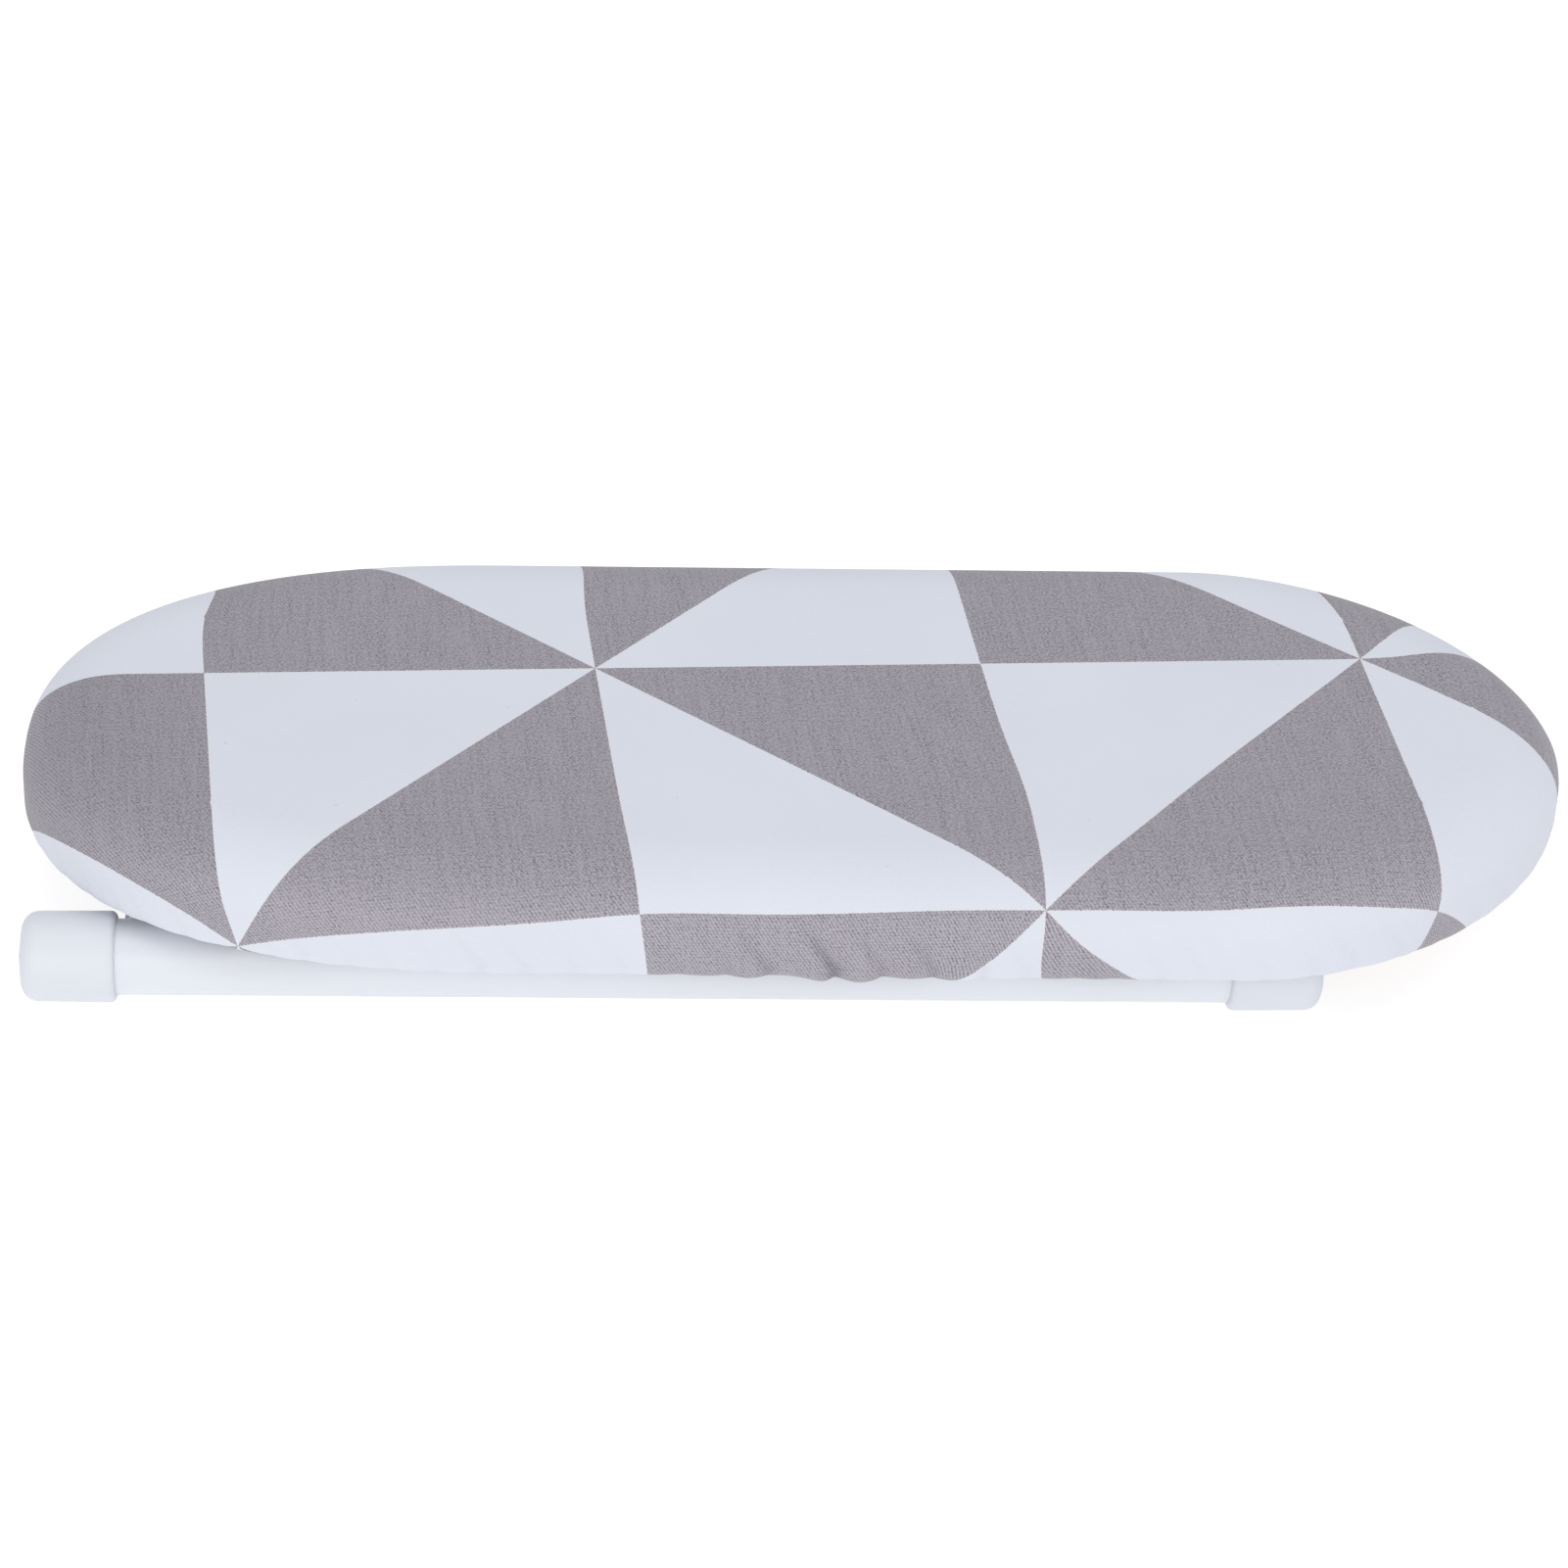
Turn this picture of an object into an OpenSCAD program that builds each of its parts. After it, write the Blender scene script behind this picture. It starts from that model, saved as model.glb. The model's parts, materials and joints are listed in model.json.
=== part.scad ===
// Tabletop ironing board with a padded, printed cover and a folding skid stand.
// +X runs from the narrow nose end to the broad heel end, +Y to the back, +Z up.
// The origin lies on the table, under the middle of the board, with the stand folded flat.

/* [Board] */
// Overall length of the covered board
board_length = 520; // [500:1:540]
// Overall width of the covered board at mid length
board_width = 213.6; // [200:0.2:226]
// Length of the long rounded nose end
nose_length = 160; // [140:1:175]
// Length of the short rounded heel end
heel_length = 119; // [105:1:130]
// How square the nose end is (2 is an ellipse)
nose_fullness = 2.33; // [2:0.01:2.5]
// How square the heel end is (2 is an ellipse)
heel_fullness = 1.86; // [1.8:0.01:2.2]
// Share by which the board widens from its middle to its heel
board_taper = 0.012; // [0:0.001:0.03]
// Height of the ironing surface above the table, folded
surface_z = 66.5; // [65.5:0.5:70]
// Thickness of the covered board
covered_thickness = 34.8; // [32:0.2:36]
// Thickness of the plywood core
core_thickness = 12; // [9:0.5:14]
// Width of the soft round along the top edge
edge_round_width = 30.5; // [20:0.5:36]
// Drop of the soft round along the top edge
edge_round_drop = 19; // [14:0.5:20]
// Thickness of the cotton cover
cloth = 0.8; // [0.6:0.1:1]

/* [Stand] */
// Outside diameter of the skid tubes
skid_diameter = 25; // [22:0.5:25]
// Outside diameter of the foot caps
foot_diameter = 30; // [28:0.5:30]
// Length of a foot cap
foot_length = 32; // [28:1:34]
// Distance between the two skid tubes' axes
skid_spacing = 145; // [143:1:148]
// Nose end of the skids, foot caps included
skid_nose_x = -257; // [-258:1:-253]
// Heel end of the skids, foot caps included
skid_heel_x = 173; // [172:1:178]
// Distance between a leg's two pivots
leg_length = 150; // [140:1:150]
// Nose leg's axle
nose_axle_x = -215; // [-215:1:-213]
// Heel leg's axle
heel_axle_x = -43; // [-43:1:-40]
// Distance from the heel leg's axle to the locking stay's pivot, and length of the stay
stay_length = 60; // [55:1:62]
// Angle of the open legs above the table
open_angle = 60; // [50:1:62]

/* [Fits] */
// Radial clearance of a hub on its axle or hinge rod
running = 0.06; // [0.04:0.01:0.08]
// Side clearance between parts that slide past each other
side_gap = 0.3; // [0.2:0.1:0.4]

/* [Hidden] */
$fn = 48;

WHITE = [0.93, 0.94, 0.95];
CAP_WHITE = [0.95, 0.95, 0.94];
STEEL = [0.72, 0.73, 0.75];
NYLON = [0.88, 0.88, 0.85];
RUBBER = [0.2, 0.2, 0.21];
PLYWOOD = [0.78, 0.65, 0.47];
SPONGE = [0.93, 0.9, 0.78];
CLOTH_GREY = [0.6, 0.57, 0.6];
CLOTH_WHITE = [0.9, 0.91, 0.94];
BRASS = [0.76, 0.62, 0.34];

half_length = board_length / 2;
half_width = board_width / 2;
nose_centre_x = nose_length - half_length;
heel_centre_x = half_length - heel_length;
underside_z = surface_z - covered_thickness;
bottom_round = 6;
core_bottom_z = underside_z + cloth + 0.2;
core_top_z = core_bottom_z + core_thickness;
core_inset = 4;
core_bevel = 3;
sponge_bottom_z = underside_z + bottom_round;
outline_steps = 72;
round_steps = 8;

pivot_z = foot_diameter / 2 - 0.5;
skid_r = skid_diameter / 2;
skid_wall = 1.5;
skid_y = skid_spacing / 2;
skid_inner_y = skid_y - skid_r;
skid_outer_y = skid_y + skid_r;
foot_r = foot_diameter / 2;
foot_end_wall = 6;
foot_edge_round = 5.5;
foot_dome = 1.2;
foot_draft = 0.2;
foot_rim_round = 2;

rod_r = 5;
hub_r = 9;
hub_inner_y = 38;
hub_outer_y = 54;
leg_y = (hub_inner_y + hub_outer_y) / 2;
leg_tube_r = 8;
leg_tube_wall = 1.2;
brace_r = 6;
brace_wall = 1.2;
brace_from_axle = 110;
nose_hinge_x = nose_axle_x + leg_length;
heel_hinge_x = heel_axle_x + leg_length;

cross_tube_r = 8;
cross_tube_x = 133;
bumper_x = [-120, 100];
bumper_y = skid_y - 6.5;
bumper_r = 6.5;
bumper_tip_r = 5.2;

stay_pivot_x = heel_axle_x + stay_length;
stud_rest_x = stay_pivot_x + stay_length;
stud_open_x = heel_axle_x + 2 * stay_length * cos(open_angle);
stay_thick = 2.5;
stay_inner_y = hub_outer_y + 1;
stay_outer_y = stay_inner_y + stay_thick;
stay_r = 8;
stud_r = 3;
rivet_head_r = 5;
rivet_head_h = 1.1;
rivet_grip = 3;
slot_r = stud_r + side_gap;
inner_washer_r = 6;
outer_washer_r = 7;
knob_r = 12.5;
knob_y = skid_outer_y + 2;
knob_hub_r = 8;
knob_hub_length = 3;
knob_grip_length = 12;
knob_lobes = 6;
lobe_gap_r = 4;
lobe_gap_depth = 1.8;
insert_r = 5;
insert_depth = 12;

ear_thick = 2.5;
ear_outer_y = hub_inner_y - 1.2;
ear_r = 10;
plate_thick = 2.5;
plate_half_x = 24;
plate_half_y = 47;
screw_x = 17;
screw_y = 41;
screw_r = 2;
screw_head_r = 4;
screw_head_h = 2.2;
screw_depth = 9;
rod_cap_r = 7.5;
rod_cap_wall = 1.3;
rod_end_y = hub_outer_y + 1.4;

hem_inner_inset = 31;
hem_outer_inset = 24;
hem_z = underside_z - 1.6;
hem_height = 2.4;
elastic_height = 1.4;
elastic_width = 4;
hem_wall = (hem_height - elastic_height) / 2;

// ---------- outline of the board, and solids lofted through insets of it ----------

// Signed power, for the rounded ends
function spow(v, p) = sign(v) * pow(abs(v), p);

// One point of the outline, set in by d, at parameter angle a
function outline_point(d, a) =
    let (
        heel = cos(a) > 0,
        reach = (heel ? heel_length : nose_length) - d,
        power = 2 / (heel ? heel_fullness : nose_fullness),
        x = (heel ? heel_centre_x : nose_centre_x) + reach * spow(cos(a), power),
        y = (half_width - d) * spow(sin(a), power)
    )
    [x, y * (1 + board_taper * x / half_length)];

function outline(d) = [for (i = [0:outline_steps - 1]) outline_point(d, (i + 0.5) * 360 / outline_steps)];

// Points of a loft: each step is [inset, height]
function loft_points(steps) = [for (s = steps) for (p = outline(s[0])) [p[0], p[1], s[1]]];

// Side faces between the rings of a loft, optionally joining the last ring to the first
function loft_sides(rings, closed) =
    let (n = outline_steps)
    [for (r = [0:(closed ? rings - 1 : rings - 2)]) for (i = [0:n - 1])
        let (j = (i + 1) % n, a = r * n, b = ((r + 1) % rings) * n)
        [a + i, b + i, b + j, a + j]];

// A closed solid lofted from its lowest ring to its highest
module loft_solid(steps) {
    n = outline_steps;
    last = (len(steps) - 1) * n;
    floor_face = [for (i = [0:n - 1]) i];
    roof_face = [for (i = [n - 1:-1:0]) last + i];
    polyhedron(loft_points(steps), concat([floor_face], loft_sides(len(steps), false), [roof_face]), 10);
}

// A closed ring whose section is the polygon of steps
module loft_ring(steps) {
    polyhedron(loft_points(steps), loft_sides(len(steps), true), 10);
}

// A band with a rectangular section, between two insets and two heights
module band(outer_inset, inner_inset, low, high) {
    loft_ring([[inner_inset, low], [outer_inset, low], [outer_inset, high], [inner_inset, high]]);
}

// Outer profile of the padded board, set in evenly by skin, from height low to the top
function padded_profile(skin, low) =
    let (edge_z = surface_z - edge_round_drop)
    concat(
        [[skin, low]],
        [for (k = [0:round_steps])
            let (a = 90 * k / round_steps)
            [edge_round_width - (edge_round_width - skin) * cos(a),
             edge_z + (edge_round_drop - skin) * sin(a)]]
    );

// Rounded bottom edge of the cover, set in evenly by skin, from its underside up
function bottom_profile(skin) =
    [for (k = [0:4])
        let (a = 90 * k / 4)
        [bottom_round - (bottom_round - skin) * sin(a),
         underside_z + bottom_round - (bottom_round - skin) * cos(a)]];

// ---------- small shapes ----------

// Cylinder along Y between two Y values
module y_cylinder(x, z, r, y0, y1) {
    translate([x, y0, z]) rotate([-90, 0, 0]) cylinder(r = r, h = y1 - y0);
}

// Cylinder along X between two X values
module x_cylinder(y, z, r, x0, x1) {
    translate([x0, y, z]) rotate([0, 90, 0]) cylinder(r = r, h = x1 - x0);
}

// Ring along Y
module y_ring(x, z, outer, inner, y0, y1) {
    difference() {
        y_cylinder(x, z, outer, y0, y1);
        y_cylinder(x, z, inner, y0 - 1, y1 + 1);
    }
}

// ---------- stand base ----------

module skid_tube(y) {
    x0 = skid_nose_x + foot_end_wall;
    x1 = skid_heel_x - foot_end_wall;
    color(WHITE) difference() {
        x_cylinder(y, pivot_z, skid_r, x0, x1);
        x_cylinder(y, pivot_z, skid_r - skid_wall, x0 - 1, x1 + 1);
        if (y > 0) stay_slot();
    }
}

// Slot through both walls of the rear skid, which the clamp stud slides along
module stay_slot() {
    y0 = skid_inner_y - 1;
    y1 = skid_outer_y + 1;
    y_cylinder(stud_open_x, pivot_z, slot_r, y0, y1);
    y_cylinder(stud_rest_x, pivot_z, slot_r, y0, y1);
    translate([stud_open_x, y0, pivot_z - slot_r])
        cube([stud_rest_x - stud_open_x, y1 - y0, 2 * slot_r]);
}

// Half section of a foot cap: along the axis from its domed end, by radius
foot_section = concat(
    [[0, 0]],
    [for (a = [0:15:90])
        [foot_r - foot_draft - foot_edge_round + foot_edge_round * sin(a),
         foot_dome + foot_edge_round - foot_edge_round * cos(a)]],
    [for (a = [0:15:90])
        [foot_r - foot_rim_round + foot_rim_round * cos(a),
         foot_length - foot_rim_round + foot_rim_round * sin(a)]],
    [[skid_r, foot_length], [skid_r, foot_end_wall], [0, foot_end_wall]]
);

// Push-on plastic foot cap with a narrow flat underneath
module foot_cap(end_x, y, direction) {
    color(CAP_WHITE) difference() {
        translate([end_x, y, pivot_z]) rotate([0, 90 * direction, 0])
            rotate_extrude() polygon(foot_section);
        translate([end_x - 2 * foot_length, y - foot_r, -foot_r])
            cube([4 * foot_length, foot_diameter, foot_r]);
    }
}

// Rod or tube welded across the skids, with its ends cut to fit them
module cross_member(x, r, wall) {
    difference() {
        y_cylinder(x, pivot_z, r, -skid_y, skid_y);
        if (wall > 0) y_cylinder(x, pivot_z, r - wall, -skid_y - 1, skid_y + 1);
        for (s = [-1, 1]) x_cylinder(s * skid_y, pivot_z, skid_r, x - 20, x + 20);
    }
}

// Nylon spacers that keep the lower hubs clear of the skids
module axle_spacers() {
    y0 = hub_outer_y + side_gap;
    y1 = skid_inner_y - side_gap;
    color(NYLON) for (x = [nose_axle_x, heel_axle_x]) {
        y_ring(x, pivot_z, leg_tube_r, rod_r, y0, y1);
        y_ring(x, pivot_z, leg_tube_r, rod_r, -y1, -y0);
    }
}

// ---------- legs ----------

// Side tube of a leg, cut to fit its two hubs
module leg_tube(axle_x, side, rivet_hole) {
    color(WHITE) difference() {
        x_cylinder(side * leg_y, pivot_z, leg_tube_r, axle_x, axle_x + leg_length);
        x_cylinder(side * leg_y, pivot_z, leg_tube_r - leg_tube_wall, axle_x - 1, axle_x + leg_length + 1);
        for (x = [axle_x, axle_x + leg_length]) y_cylinder(x, pivot_z, hub_r, -skid_y, skid_y);
        if (rivet_hole) y_cylinder(stay_pivot_x, pivot_z, stud_r, leg_y, skid_y);
    }
}

module leg_brace(axle_x) {
    x = axle_x + brace_from_axle;
    color(WHITE) difference() {
        y_cylinder(x, pivot_z, brace_r, -leg_y, leg_y);
        y_cylinder(x, pivot_z, brace_r - brace_wall, -leg_y - 1, leg_y + 1);
        for (s = [-1, 1]) x_cylinder(s * leg_y, pivot_z, leg_tube_r, x - 20, x + 20);
    }
}

// Four hubs of one leg: two on its axle, two on its hinge rod
module leg_hubs(axle_x) {
    color(WHITE) for (x = [axle_x, axle_x + leg_length]) {
        y_ring(x, pivot_z, hub_r, rod_r + running, hub_inner_y, hub_outer_y);
        y_ring(x, pivot_z, hub_r, rod_r + running, -hub_outer_y, -hub_inner_y);
    }
}

// ---------- locking stay ----------

// Shoulder rivet that joins the stay to the heel leg
module stay_rivet() {
    head_y = stay_outer_y + side_gap;
    color(STEEL) {
        y_cylinder(stay_pivot_x, pivot_z, stud_r, hub_outer_y - rivet_grip, head_y);
        y_cylinder(stay_pivot_x, pivot_z, rivet_head_r, head_y, head_y + rivet_head_h);
    }
}

module stay_bar() {
    color(STEEL) difference() {
        union() {
            y_cylinder(stay_pivot_x, pivot_z, stay_r, stay_inner_y, stay_outer_y);
            y_cylinder(stud_rest_x, pivot_z, stay_r, stay_inner_y, stay_outer_y);
            translate([stay_pivot_x, stay_inner_y, pivot_z - stay_r])
                cube([stay_length, stay_thick, 2 * stay_r]);
        }
        y_cylinder(stay_pivot_x, pivot_z, stud_r + running, stay_inner_y - 1, stay_outer_y + 1);
        y_cylinder(stud_rest_x, pivot_z, stud_r, stay_inner_y - 1, stay_outer_y + 1);
    }
}

// Threaded stud, fixed in the stay, that reaches out through the rear skid's slot
module clamp_stud() {
    color(STEEL) y_cylinder(stud_rest_x, pivot_z, stud_r, stay_inner_y, knob_y + insert_depth - 1);
}

// Washers on the stud, on both sides of the rear skid
module clamp_washers() {
    color(NYLON) {
        y_ring(stud_rest_x, pivot_z, inner_washer_r, stud_r, stay_outer_y, skid_inner_y - side_gap);
        y_ring(stud_rest_x, pivot_z, outer_washer_r, stud_r, skid_outer_y + side_gap, knob_y - side_gap);
    }
}

// Lobed hand knob with a blind bore for its insert
module lock_knob() {
    grip_y = knob_y + knob_hub_length;
    end_y = grip_y + knob_grip_length;
    reach = knob_r + lobe_gap_r - lobe_gap_depth;
    color(RUBBER) difference() {
        union() {
            y_cylinder(stud_rest_x, pivot_z, knob_hub_r, knob_y, grip_y);
            y_cylinder(stud_rest_x, pivot_z, knob_r, grip_y, end_y);
        }
        for (k = [0:knob_lobes - 1])
            let (a = 360 * k / knob_lobes, x = stud_rest_x + reach * cos(a), z = pivot_z + reach * sin(a))
            y_cylinder(x, z, lobe_gap_r, grip_y - 1, end_y + 1);
        y_cylinder(stud_rest_x, pivot_z, insert_r, knob_y - 1, knob_y + insert_depth);
    }
}

// Threaded brass insert moulded into the knob
module knob_insert() {
    color(BRASS) y_ring(stud_rest_x, pivot_z, insert_r, stud_r + running, knob_y, knob_y + insert_depth);
}

// ---------- board ----------

// Plywood core with a bevelled bottom edge and pilot holes for the bracket screws
module board_core() {
    color(PLYWOOD) difference() {
        union() {
            translate([0, 0, core_bottom_z + core_bevel])
                linear_extrude(core_thickness - core_bevel) polygon(outline(core_inset));
            translate([0, 0, core_bottom_z])
                linear_extrude(core_bevel) polygon(outline(core_inset + core_bevel));
        }
        for (x = [nose_hinge_x, heel_hinge_x]) for (p = screw_places(x))
            translate([p[0], p[1], core_bottom_z - 1]) cylinder(r = screw_r, h = screw_depth + 1);
    }
}

// Sponge pad that covers the core and laps down round its edge
module sponge_pad() {
    color(SPONGE) difference() {
        loft_solid(padded_profile(cloth + 0.1, sponge_bottom_z));
        translate([0, 0, sponge_bottom_z - 1])
            linear_extrude(core_top_z - sponge_bottom_z + 1) polygon(outline(core_inset));
    }
}

// Cotton cover: one closed skin over the pad, turned in under the core
module cover() {
    edge_z = underside_z + bottom_round;
    inner = concat(
        [[bottom_round + 1, underside_z + cloth]],
        bottom_profile(cloth),
        padded_profile(cloth, edge_z + 0.5)
    );
    outer = concat([[bottom_round + 1, underside_z]], bottom_profile(0), padded_profile(0, edge_z + 0.5));
    color(CLOTH_GREY) difference() {
        loft_solid(outer);
        loft_solid(inner);
        translate([0, 0, underside_z - 1]) linear_extrude(cloth + 1.2) polygon(outline(hem_outer_inset));
    }
}

// Rubber bumpers under the core, which rest on the skids when folded
module rest_bumpers() {
    tip_z = pivot_z + skid_r + side_gap;
    color(RUBBER) for (x = bumper_x) for (s = [-1, 1])
        translate([x, s * bumper_y, tip_z])
            cylinder(r1 = bumper_tip_r, r2 = bumper_r, h = core_bottom_z - tip_z);
}

// Folded casing along the cover's hem
module hem_band() {
    color(CLOTH_WHITE) difference() {
        band(hem_outer_inset, hem_inner_inset, hem_z, hem_z + hem_height);
        band((hem_outer_inset + hem_inner_inset - elastic_width) / 2,
             (hem_outer_inset + hem_inner_inset + elastic_width) / 2,
             hem_z + hem_wall, hem_z + hem_height - hem_wall);
    }
}

// Flat elastic that runs inside the casing
module hem_elastic() {
    trim = 0.1;
    color(CLOTH_WHITE) band(
        (hem_outer_inset + hem_inner_inset - elastic_width) / 2 + trim,
        (hem_outer_inset + hem_inner_inset + elastic_width) / 2 - trim,
        hem_z + hem_wall + trim, hem_z + hem_height - hem_wall - trim);
}

// The four screw places of the bracket at x
function screw_places(x) = [for (sx = [-1, 1]) for (sy = [-1, 1]) [x + sx * screw_x, sy * screw_y]];

// Pressed steel saddle under the board: a plate with two ears that hold the hinge rod
module saddle_bracket(x) {
    plate_z = core_bottom_z - plate_thick;
    color(WHITE) difference() {
        union() {
            translate([x - plate_half_x, -plate_half_y, plate_z])
                cube([2 * plate_half_x, 2 * plate_half_y, plate_thick]);
            for (y = [ear_outer_y - ear_thick, -ear_outer_y]) {
                y_cylinder(x, pivot_z, ear_r, y, y + ear_thick);
                translate([x - ear_r, y, pivot_z])
                    cube([2 * ear_r, ear_thick, plate_z - pivot_z]);
            }
        }
        y_cylinder(x, pivot_z, rod_r, -skid_y, skid_y);
        for (p = screw_places(x))
            translate([p[0], p[1], plate_z - 1]) cylinder(r = screw_r, h = plate_thick + 2);
    }
}

module bracket_screws() {
    plate_z = core_bottom_z - plate_thick;
    color(STEEL) for (x = [nose_hinge_x, heel_hinge_x]) for (p = screw_places(x)) {
        translate([p[0], p[1], plate_z - screw_head_h])
            cylinder(r1 = screw_head_r - 1, r2 = screw_head_r, h = screw_head_h);
        translate([p[0], p[1], plate_z]) cylinder(r = screw_r, h = plate_thick + screw_depth);
    }
}

module hinge_rod(x) {
    color(STEEL) y_cylinder(x, pivot_z, rod_r, -rod_end_y, rod_end_y);
}

// Domed push-on caps that retain the hinge rods
module rod_caps() {
    y0 = hub_outer_y + side_gap;
    y1 = rod_end_y + rod_cap_wall;
    color(STEEL) for (x = [nose_hinge_x, heel_hinge_x]) for (s = [-1, 1]) difference() {
        y_cylinder(x, pivot_z, rod_cap_r, s > 0 ? y0 : -y1, s > 0 ? y1 : -y0);
        y_cylinder(x, pivot_z, rod_r, -rod_end_y, rod_end_y);
    }
}

// ---------- nodes ----------

skid_tube(-skid_y);  // front_skid_tube
skid_tube(skid_y);  // rear_skid_tube
foot_cap(skid_nose_x, -skid_y, 1);  // foot_cap_nose_front
foot_cap(skid_nose_x, skid_y, 1);  // foot_cap_nose_rear
foot_cap(skid_heel_x, -skid_y, -1);  // foot_cap_heel_front
foot_cap(skid_heel_x, skid_y, -1);  // foot_cap_heel_rear
color(STEEL) cross_member(nose_axle_x, rod_r, 0);  // nose_axle
color(STEEL) cross_member(heel_axle_x, rod_r, 0);  // heel_axle
color(WHITE) cross_member(cross_tube_x, cross_tube_r, 1.2);  // base_cross_tube
axle_spacers();
leg_tube(nose_axle_x, -1, false);  // nose_leg_tube_front
leg_tube(nose_axle_x, 1, false);  // nose_leg_tube_rear
leg_brace(nose_axle_x);  // nose_leg_brace
leg_hubs(nose_axle_x);  // nose_leg_hubs
leg_tube(heel_axle_x, -1, false);  // heel_leg_tube_front
leg_tube(heel_axle_x, 1, true);  // heel_leg_tube_rear
leg_brace(heel_axle_x);  // heel_leg_brace
leg_hubs(heel_axle_x);  // heel_leg_hubs
stay_rivet();
stay_bar();
clamp_stud();
clamp_washers();
lock_knob();
knob_insert();
board_core();
sponge_pad();
cover();
hem_band();
hem_elastic();
rest_bumpers();
saddle_bracket(nose_hinge_x);  // nose_saddle_bracket
saddle_bracket(heel_hinge_x);  // heel_saddle_bracket
bracket_screws();
hinge_rod(nose_hinge_x);  // nose_hinge_rod
hinge_rod(heel_hinge_x);  // heel_hinge_rod
rod_caps();
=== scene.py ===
"""A small folding ironing board: printed cotton over a padded board, on a white tubular stand. Metres."""
import json
import math

import bpy
import numpy as np
from mathutils import Matrix, Vector


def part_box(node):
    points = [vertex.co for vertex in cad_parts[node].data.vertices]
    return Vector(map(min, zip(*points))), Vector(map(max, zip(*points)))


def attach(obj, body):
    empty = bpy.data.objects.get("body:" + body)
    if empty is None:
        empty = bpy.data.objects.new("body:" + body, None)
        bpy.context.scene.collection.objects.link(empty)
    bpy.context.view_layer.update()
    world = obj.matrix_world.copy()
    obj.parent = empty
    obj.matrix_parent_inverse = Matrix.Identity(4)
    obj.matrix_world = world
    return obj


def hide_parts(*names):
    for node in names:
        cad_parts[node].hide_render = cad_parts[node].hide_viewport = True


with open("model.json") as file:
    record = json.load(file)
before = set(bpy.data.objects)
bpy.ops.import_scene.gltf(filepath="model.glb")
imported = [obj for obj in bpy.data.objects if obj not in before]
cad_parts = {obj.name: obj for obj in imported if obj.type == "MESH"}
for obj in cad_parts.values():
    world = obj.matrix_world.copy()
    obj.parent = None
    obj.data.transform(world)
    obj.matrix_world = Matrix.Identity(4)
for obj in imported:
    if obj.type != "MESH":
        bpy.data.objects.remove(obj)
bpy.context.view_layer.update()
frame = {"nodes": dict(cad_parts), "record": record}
nodes = frame["nodes"]

# ---------- sizes ----------

MM = 0.001
COVER_LOW, COVER_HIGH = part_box("cover")
CORE_TOP_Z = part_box("board_core")[1].z
HEM_LOW, HEM_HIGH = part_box("hem_band")
HALF_LENGTH = (COVER_HIGH.x - COVER_LOW.x) / 2
HALF_WIDTH = 106.8 * MM
TOP_Z, UNDER_Z = COVER_HIGH.z, COVER_LOW.z

# The outline: a straight middle between two rounded ends, slightly wider towards the heel
NOSE_LENGTH, NOSE_POWER = 160 * MM, 2.33
HEEL_LENGTH, HEEL_POWER = 119 * MM, 1.86
TAPER = 0.012

# The side, from the flat top's rim to the hem
EDGE_WIDTH, EDGE_DROP = 30.5 * MM, 19 * MM
BOTTOM_ROUND = 6 * MM
EDGE_STEPS, SKIRT_STEPS, ROUND_STEPS, UNDER_STEPS = 12, 4, 6, 7
HEM_INSET = 27 * MM
CASING_HALF_WIDTH = 3.5 * MM

# The print: half-square triangles, and where a corner of its squares lies on the board
PRINT_SQUARE = 132.1 * MM
PRINT_TURN = math.radians(2.44)
PRINT_CORNER = (-200.7 * MM, 17.7 * MM)
PRINT_SHEAR = -0.049
# Where the stretched cloth is tugged out of true, how far round that reaches, and how far the print
# moves to the nose and to the back there, in millimetres. The places and reaches were chosen one by one.
# The two moves in each row come from a least-squares fit to points on the photo's print, made by another
# program. The seventh row is a third of what the fit gave, and the last does not come from the fit.
PRINT_TUGS = (
    (-52, -108, 34, -1.3, 2.2), (130, -104, 45, -1.0, -3.2), (-53, -128, 16, -1.2, 0.3),
    (74, -126, 20, 3.5, -1.3), (238, 46, 24, -2.0, 7.0), (-200, 75, 20, -5.4, 0.0),
    (-195, -120, 16, 2.2, -0.6), (212, -100, 20, -2.5, 2.9), (190, 82, 18, 2.6, -0.2),
    (-66, 92, 22, -2.4, 0.2), (60, -50, 30, -2.3, -3.5), (47, -135, 10, 5.5, 0.0),
)

# The camera
CAMERA_RISE = math.radians(34.67)
CAMERA_TURN = math.radians(4.04)
CAMERA_ROLL = math.radians(-2.87)
CAMERA_DISTANCE = 1.513
CAMERA_AIM = Vector((-7.3 * MM, -44.6 * MM, TOP_Z))
CAMERA_LENS = 105.7


# ---------- outline and side of the covered board ----------

def signed_power(value, power):
    return np.sign(value) * np.abs(value) ** power


def outline(count):
    """Evenly spaced points of the outline from the heel's tip, their outward normals, and the way round."""
    angle = np.linspace(0, 2 * math.pi, 8193)
    heel = np.cos(angle) > 0
    reach = np.where(heel, HEEL_LENGTH, NOSE_LENGTH)
    power = 2 / np.where(heel, HEEL_POWER, NOSE_POWER)
    middle = np.where(heel, HALF_LENGTH - HEEL_LENGTH, NOSE_LENGTH - HALF_LENGTH)
    x = middle + reach * signed_power(np.cos(angle), power)
    y = HALF_WIDTH * signed_power(np.sin(angle), power) * (1 + TAPER * x / HALF_LENGTH)
    along = np.concatenate([[0], np.cumsum(np.hypot(np.diff(x), np.diff(y)))])
    wanted = np.arange(count) * along[-1] / count
    points = np.column_stack([np.interp(wanted, along, x), np.interp(wanted, along, y)])
    tangent = np.roll(points, -1, 0) - np.roll(points, 1, 0)
    normal = np.column_stack([tangent[:, 1], -tangent[:, 0]])
    return points, normal / np.linalg.norm(normal, axis=1, keepdims=True), along[-1]


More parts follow.
